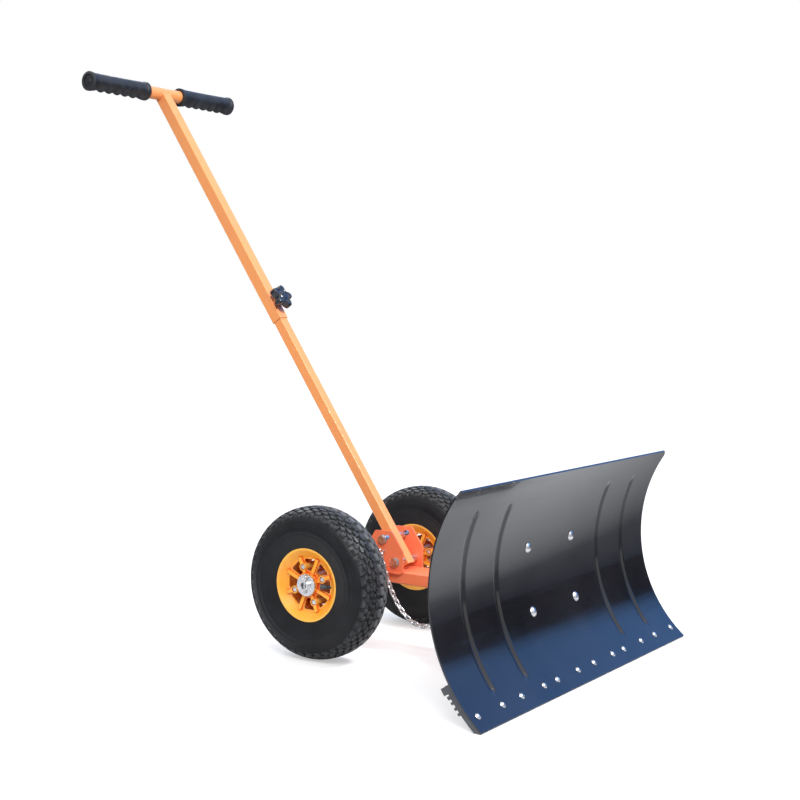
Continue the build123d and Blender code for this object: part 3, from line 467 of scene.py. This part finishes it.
def tread_blocks():
    """Outline of every block as (turn, share of a step) corners."""
    outlines = []
    for side in (-1, 1):
        for offset, reach, shape, shift in TREAD_ROWS:
            turns = [90 + side * (offset + reach * across) for across, _ in shape]
            shares = [along * TREAD_FILL + shift for _, along in shape]
            outlines.append(list(zip(turns, shares)))
    return outlines


def make_tyre(label, side):
    """Carcass and tread of one tyre as a single mesh."""
    section = carcass_section()
    vertices = []
    for x, r in section:
        for number in range(AROUND_TYRE):
            spin = 2 * math.pi * number / AROUND_TYRE
            vertices.append((x, r * math.cos(spin), r * math.sin(spin)))
    faces = grid_faces(len(section), AROUND_TYRE)
    for outline in tread_blocks():
        for step in range(TREAD_STEPS):
            add_block(vertices, faces, outline, step)
    centre = Vector((side * WHEEL_X, WHEEL_Y, WHEEL_Z))
    placed = [centre + Vector(v) for v in vertices]
    tyre = make_object(f"tyre_{label}_tread", placed, faces, "tyre", f"wheel_{label}")
    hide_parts(f"tyre_{label}")
    mark_sharp(tyre, 50)


def add_block(vertices, faces, outline, step):
    """One block of rubber with sloping sides and a slightly crowned top."""
    middle_turn = sum(turn for turn, _ in outline) / len(outline)
    middle_share = sum(share for _, share in outline) / len(outline)
    first = len(vertices)
    for depth, scale in BLOCK_LEVELS:
        for turn, share in outline:
            x, r = tyre_point(middle_turn + (turn - middle_turn) * scale, depth)
            place = step + middle_share + (share - middle_share) * scale
            spin = 2 * math.pi * place / TREAD_STEPS
            vertices.append((x, r * math.cos(spin), r * math.sin(spin)))
    count = len(outline)
    top = len(BLOCK_LEVELS) - 1
    for level in range(top):
        for corner in range(count):
            other = (corner + 1) % count
            low = first + level * count
            faces.append((low + corner, low + other, low + count + other, low + count + corner))
    faces.append(tuple(first + top * count + corner for corner in range(count)))


def mark_sharp(obj, degrees):
    """Smooth shading that keeps edges sharper than an angle crisp."""
    obj.data.set_sharp_from_angle(angle=math.radians(degrees))


# ---------------------------------------------------------------- grips

def grip_radius(along, round_angle):
    """Radius of the grip; along runs from 0 at its inner end to 1, angle is 0 at the top."""
    underside = max(0.0, -math.cos(round_angle)) ** 1.2
    zone = smooth_step(along, 0.07, 0.12) * (1 - smooth_step(along, 0.88, 0.93))
    first, last = FINGER_SPAN
    groove = abs(math.sin(math.pi * FINGERS * (along - first) / (last - first))) ** 0.7
    body = 16.6 - 0.5 * math.sin(math.pi * along)
    fingers = underside * zone * (1.0 - 2.9 * groove)
    collar = 1.2 * (1 - smooth_step(along, 0.04, 0.075)) + 1.3 * smooth_step(along, 0.945, 0.96)
    return (body + fingers + collar) * MM


def make_grip(label, side):
    """Moulded sleeve on one end of the crossbar."""
    moulded = [(GRIP_LENGTH * step / GRIP_RINGS, None) for step in range(1, GRIP_RINGS)]
    rows = [*GRIP_START_RINGS, *moulded, *GRIP_END_RINGS]
    vertices = []
    for along, fixed in rows:
        x = side * (GRIP_LOW.x + along)
        for number in range(AROUND_GRIP):
            angle = 2 * math.pi * number / AROUND_GRIP
            r = fixed if fixed is not None else grip_radius(along / GRIP_LENGTH, angle)
            vertices.append((x, BAR_Y + r * math.sin(angle), BAR_Z + r * math.cos(angle)))
    faces = grid_faces(len(rows), AROUND_GRIP)
    grip = make_object(f"grip_{label}_moulded", vertices, faces, "rubber", "handle_upper")
    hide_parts(f"grip_{label}")
    mark_sharp(grip, 45)


# ---------------------------------------------------------------- knob

def make_knob():
    """Star knob: rounded lobes, a dished face and a boss at its centre."""
    joint = {entry["name"]: entry for entry in frame["joints"]}["knob_turn"]
    base, out = Vector(joint["pos_m"]), Vector(joint["axis"]).normalized()
    side = Vector((1, 0, 0))
    other = out.cross(side)
    vertices = []
    for share, height in KNOB_PROFILE:
        star = smooth_step(share, 0.40, 0.90)
        for number in range(AROUND_KNOB):
            angle = 2 * math.pi * number / AROUND_KNOB
            lobe = (0.5 + 0.5 * math.cos(KNOB_LOBES * angle)) ** 0.75
            r = share * (KNOB_RADIUS - star * KNOB_VALLEY * (1 - lobe))
            spoke = side * r * math.cos(angle) + other * r * math.sin(angle)
            vertices.append(base + spoke + out * height * KNOB_DEPTH)
    faces = grid_faces(len(KNOB_PROFILE), AROUND_KNOB)
    knob = make_object("knob_star", vertices, faces, "knob_plastic", "knob")
    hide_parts("knob")
    mark_sharp(knob, 60)


# ---------------------------------------------------------------- blade

def blade_spot(x, arc, depth):
    """Point on the blade; depth is measured back from its hollow face."""
    angle = math.radians(BLADE_LOW) + arc / BLADE_RADIUS
    r = BLADE_RADIUS + depth
    return (x, BLADE_AXIS_Y + r * math.cos(angle), BLADE_CENTRE_Z + r * math.sin(angle))


def rib_depth(x, arc):
    """How far the pressed ribs push the sheet back at a point."""
    low, high = RIB_ARCS
    start = smooth_step(arc, low, low + RIB_RUN_OUT)
    end = smooth_step(arc, high - RIB_RUN_OUT, high)
    depth = 0.0
    for rib in RIB_XS:
        near = min(1.0, abs(x - rib) / RIB_HALF_WIDTH)
        depth += RIB_SINK * (0.5 + 0.5 * math.cos(math.pi * near))
    return depth * start * (1 - end)


def make_blade():
    """Curved sheet with pressed ribs and clipped top corners; the folded hem is a separate mesh."""
    even = [-BLADE_HALF + 2 * BLADE_HALF * n / BLADE_COLUMNS for n in range(BLADE_COLUMNS + 1)]
    steps = range(-RIB_COLUMNS, RIB_COLUMNS + 1)
    fine = [rib + step * RIB_PITCH for rib in RIB_XS for step in steps]
    columns = sorted({round(x, 5) for x in even + fine})
    rows = [BLADE_ARC * n / BLADE_ROWS for n in range(BLADE_ROWS + 1)]
    vertices = []
    for depth in (0.0, BLADE_SHEET):
        for arc in rows:
            clip = max(0.0, arc - (BLADE_ARC - CORNER_CUT))
            for x in columns:
                limit = BLADE_HALF - clip
                kept = max(-limit, min(limit, x))
                vertices.append(blade_spot(kept, arc, depth + rib_depth(kept, arc)))
    wide, tall = len(columns), len(rows)
    front = grid_faces(tall, wide, closed=False)
    shift = wide * tall
    faces = [tuple(reversed(face)) for face in front]
    faces += [tuple(corner + shift for corner in face) for face in front]
    border = list(range(wide))
    border += [row * wide + wide - 1 for row in range(1, tall)]
    border += [(tall - 1) * wide + column for column in range(wide - 2, -1, -1)]
    border += [row * wide for row in range(tall - 2, 0, -1)]
    for first, second in zip(border, border[1:] + border[:1]):
        faces.append((first, second, second + shift, first + shift))
    blade = make_object("blade_pressed_sheet", vertices, faces, "black_paint", "blade")
    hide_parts("blade_sheet")
    mark_sharp(blade, 40)


def make_hem():
    """The fold along the back of the top edge."""
    half = BLADE_HALF - CORNER_CUT
    stations = [-half + 2 * half * n / HEM_COLUMNS for n in range(HEM_COLUMNS + 1)]
    vertices = []
    for x in stations:
        for below, depth in HEM_SECTION:
            vertices.append(blade_spot(x, BLADE_ARC - below, depth))
    count = len(HEM_SECTION)
    faces = grid_faces(len(stations), count)
    faces.append(tuple(reversed(range(count))))
    faces.append(tuple((len(stations) - 1) * count + n for n in range(count)))
    hem = make_object("blade_hem", vertices, faces, "black_paint", "blade")
    mark_sharp(hem, 40)


# ---------------------------------------------------------------- chain

def make_chain():
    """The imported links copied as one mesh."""
    source = frame["nodes"]["chain"]
    mesh = source.data.copy()
    chain = bpy.data.objects.new("chain_links", mesh)
    bpy.context.scene.collection.objects.link(chain)
    give(chain, "zinc_steel")
    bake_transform(chain)
    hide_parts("chain")


# ---------------------------------------------------------------- scene

def dress_nodes():
    """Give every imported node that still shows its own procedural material."""
    slots = {part["node"]: part["material_slot"] for part in frame["record"]["subparts"]}
    for name, node in frame["nodes"].items():
        # These parts get the redder copy of the orange paint, which is painted light standing for how the light
        # saturates them
        lit_redder = name in BRACKET_NODES
        give(node, "orange_paint_lit_redder" if lit_redder else slots[name])


def area_light(name, place, aim, side, watts):
    """Square lamp at a place, turned towards a point."""
    data = bpy.data.lights.new(name, "AREA")
    data.shape = "SQUARE"
    data.size = side
    data.energy = watts
    lamp = bpy.data.objects.new(name, data)
    lamp.location = place
    lamp.rotation_mode = "QUATERNION"
    lamp.rotation_quaternion = (Vector(aim) - Vector(place)).to_track_quat("-Z", "Y")
    bpy.context.scene.collection.objects.link(lamp)


def fade_out(s, near, far):
    """A value that changes with distance from the shovel, from near to far."""
    distance = s.nodes.new("ShaderNodeVectorMath")
    distance.operation = "LENGTH"
    s.links.new(s.coords, distance.inputs[0])
    fade = s.nodes.new("ShaderNodeMapRange")
    fade.inputs["From Min"].default_value, fade.inputs["From Max"].default_value = FLOOR_FADE
    fade.inputs["To Min"].default_value = near
    fade.inputs["To Max"].default_value = far
    s.links.new(distance.outputs["Value"], fade.inputs["Value"])
    return fade.outputs["Result"]


def seen_glow(s):
    """Glow that keeps the floor white to the horizon for the viewer, and out of reflections."""
    path = s.nodes.new("ShaderNodeLightPath")
    seen = s.nodes.new("ShaderNodeMath")
    seen.operation = "MULTIPLY"
    s.links.new(fade_out(s, *FLOOR_GLOW), seen.inputs[0])
    s.links.new(path.outputs["Is Camera Ray"], seen.inputs[1])
    return seen.outputs["Value"]


def make_floor():
    half = FLOOR_HALF
    corners = [(-half, -half), (half, -half), (half, half), (-half, half)]
    mesh = bpy.data.meshes.new("floor")
    mesh.from_pydata([(x, y, -FLOOR_DROP) for x, y in corners], [], [(0, 1, 2, 3)])
    floor = bpy.data.objects.new("floor", mesh)
    bpy.context.scene.collection.objects.link(floor)
    s = Shader("floor_white", Specular_IOR_Level=0.2, Emission_Color=(1, 1, 1, 1))
    s.link(seen_glow(s), "Emission Strength")
    grain = s.ramp(s.noise(2.0), (0.3, 0.96), (0.7, 1.0))
    s.link(s.mix(1.0, fade_out(s, *FLOOR_TONES), grain, "MULTIPLY"), "Base Color")
    s.link(s.ramp(s.noise(5.0), (0.3, 0.7), (0.7, 0.85)), "Roughness")
    mesh.materials.append(s.material)


def make_world():
    """Neutral studio surround, with a dark band and a blue card on the side the blade mirrors."""
    world = bpy.data.worlds.new("studio")
    bpy.context.scene.world = world
    world.use_nodes = True
    nodes, links = world.node_tree.nodes, world.node_tree.links
    coords = nodes.new("ShaderNodeTexCoord")
    split = nodes.new("ShaderNodeSeparateXYZ")
    links.new(coords.outputs["Generated"], split.inputs["Vector"])
    studio = colour_ramp(nodes, links, split.outputs["Z"], STUDIO_SKY)
    mirrored = colour_ramp(nodes, links, split.outputs["Z"], MIRRORED_SKY)
    side = nodes.new("ShaderNodeMapRange")
    side.inputs["From Min"].default_value, side.inputs["From Max"].default_value = MIRRORED_FROM
    links.new(split.outputs["X"], side.inputs["Value"])
    sky = nodes.new("ShaderNodeMix")
    sky.data_type = "RGBA"
    links.new(side.outputs["Result"], sky.inputs[0])
    links.new(studio, sky.inputs[6])
    links.new(mirrored, sky.inputs[7])
    background = nodes["Background"]
    links.new(sky.outputs[2], background.inputs["Color"])
    seen = nodes.new("ShaderNodeBackground")
    seen.inputs["Color"].default_value = (1, 1, 1, 1)
    path = nodes.new("ShaderNodeLightPath")
    mix = nodes.new("ShaderNodeMixShader")
    links.new(path.outputs["Is Camera Ray"], mix.inputs["Fac"])
    links.new(background.outputs["Background"], mix.inputs[1])
    links.new(seen.outputs["Background"], mix.inputs[2])
    links.new(mix.outputs["Shader"], nodes["World Output"].inputs["Surface"])


def make_lights():
    for light in LIGHTS:
        area_light(*light)


def make_camera():
    data = bpy.data.cameras.new("camera")
    data.lens = CAMERA_LENS
    data.clip_end = 100
    camera = bpy.data.objects.new("camera", data)
    camera.location = CAMERA_PLACE
    camera.rotation_mode = "QUATERNION"
    aim = (-Vector(CAMERA_BACK)).to_track_quat("-Z", "Y")
    camera.rotation_quaternion = aim @ Quaternion((0, 0, 1), math.radians(CAMERA_ROLL))
    bpy.context.scene.collection.objects.link(camera)
    bpy.context.scene.camera = camera
    bpy.context.scene.view_settings.view_transform = "Standard"


make_camera()
dress_nodes()
for wheel_label, wheel_side in (("right", -1), ("left", 1)):
    make_tyre(wheel_label, wheel_side)
    make_grip(wheel_label, wheel_side)
make_knob()
make_blade()
make_hem()
make_chain()
make_floor()
make_world()
make_lights()
